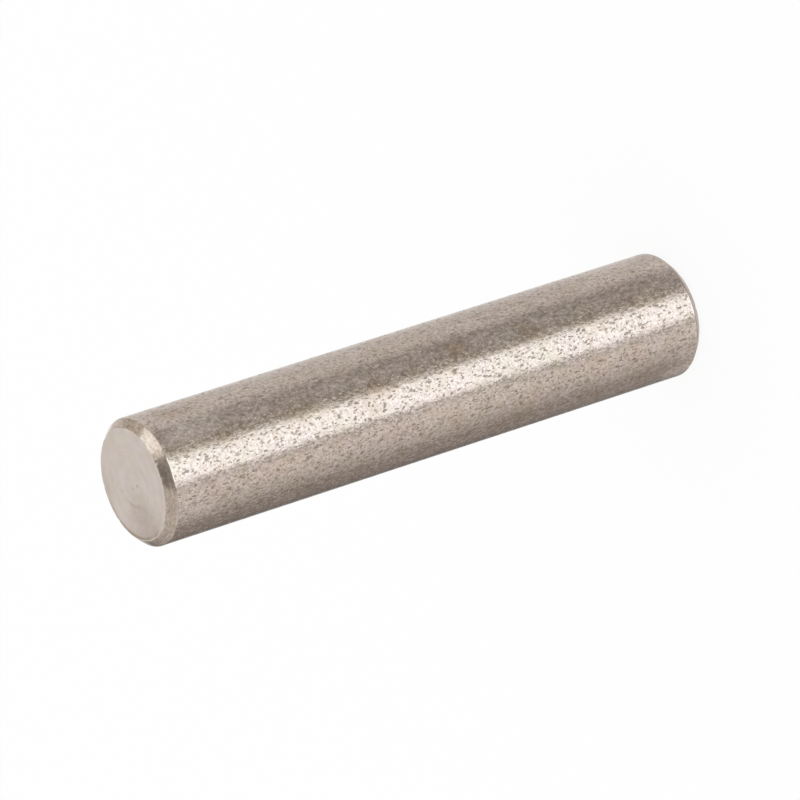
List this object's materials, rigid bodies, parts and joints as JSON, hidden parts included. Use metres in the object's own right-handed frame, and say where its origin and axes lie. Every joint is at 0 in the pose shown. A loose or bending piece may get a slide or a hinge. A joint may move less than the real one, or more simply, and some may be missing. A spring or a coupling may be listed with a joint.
{
  "type": "piston pin",
  "caption": "Solid steel piston pin: a ground cylinder with a chamfer at both ends, which joins a small piston to its connecting rod.",
  "frame": {"origin": "centre of the lower end face, which the pin stands on", "axes": "+Z along the pin's axis to its other end face; X and Y are any two directions across it, because the pin is round"},
  "size_m": [0.008, 0.008, 0.04],
  "materials": {
    "ground_steel": "ground and tumbled, finely pitted all over, with turned chamfers and faced ends"
  },
  "bodies": {
    "root": {"piston_pin": "ground_steel"}
  },
  "joints": []
}
